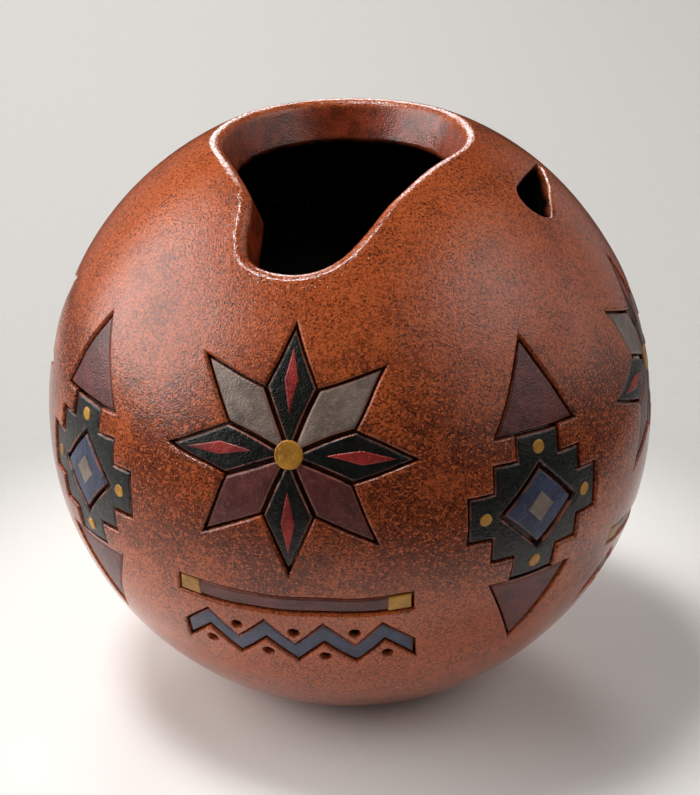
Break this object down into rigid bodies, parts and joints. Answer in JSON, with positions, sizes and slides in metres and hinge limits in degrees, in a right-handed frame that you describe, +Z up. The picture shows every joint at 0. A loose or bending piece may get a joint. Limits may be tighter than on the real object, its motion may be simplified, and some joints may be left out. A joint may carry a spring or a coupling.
{
  "type": "seed pot",
  "caption": "Nearly round glazed seed pot with a free-form mouth, a pierced shoulder hole, a flat foot and carved pockets filled with plates of coloured slip.",
  "frame": {"origin": "middle of the flat foot, on the surface that the pot stands on", "axes": "+Z up through the crown, -Y towards the side that the picture shows, +X to its right"},
  "size_m": [0.1198, 0.1198, 0.1135],
  "materials": {
    "glazed_clay": "speckled glossy sienna glaze over clay, near-black glaze inside, bare clay foot",
    "black_slip": "glossy black slip",
    "grey_slip": "glossy taupe grey slip",
    "oxblood_slip": "glossy oxblood slip",
    "blue_slip": "glossy slate blue slip",
    "red_slip": "glossy red slip",
    "ochre_slip": "glossy ochre slip"
  },
  "bodies": {
    "root": {"vessel": "glazed_clay", "front_star_up": "black_slip", "front_star_up_left": "grey_slip", "front_star_left": "black_slip", "front_star_down_left": "oxblood_slip", "front_star_down": "black_slip", "front_star_down_right": "oxblood_slip", "front_star_right": "black_slip", "front_star_up_right": "grey_slip", "front_stripe": "oxblood_slip", "front_zigzag": "blue_slip", "right_star_up": "black_slip", "right_star_up_left": "grey_slip", "right_star_left": "black_slip", "right_star_down_left": "oxblood_slip", "right_star_down": "black_slip", "right_star_down_right": "oxblood_slip", "right_star_right": "black_slip", "right_star_up_right": "grey_slip", "right_stripe": "oxblood_slip", "right_zigzag": "blue_slip", "back_star_up": "black_slip", "back_star_up_left": "grey_slip", "back_star_left": "black_slip", "back_star_down_left": "oxblood_slip", "back_star_down": "black_slip", "back_star_down_right": "oxblood_slip", "back_star_right": "black_slip", "back_star_up_right": "grey_slip", "back_stripe": "oxblood_slip", "back_zigzag": "blue_slip", "left_star_up": "black_slip", "left_star_up_left": "grey_slip", "left_star_left": "black_slip", "left_star_down_left": "oxblood_slip", "left_star_down": "black_slip", "left_star_down_right": "oxblood_slip", "left_star_right": "black_slip", "left_star_up_right": "grey_slip", "left_stripe": "oxblood_slip", "left_zigzag": "blue_slip", "front_right_lozenge": "black_slip", "front_right_core": "blue_slip", "front_right_arrow_up": "oxblood_slip", "front_right_arrow_down": "oxblood_slip", "back_right_lozenge": "black_slip", "back_right_core": "blue_slip", "back_right_arrow_up": "oxblood_slip", "back_right_arrow_down": "oxblood_slip", "back_left_lozenge": "black_slip", "back_left_core": "blue_slip", "back_left_arrow_up": "oxblood_slip", "back_left_arrow_down": "oxblood_slip", "front_left_lozenge": "black_slip", "front_left_core": "blue_slip", "front_left_arrow_up": "oxblood_slip", "front_left_arrow_down": "oxblood_slip"}
  },
  "joints": []
}
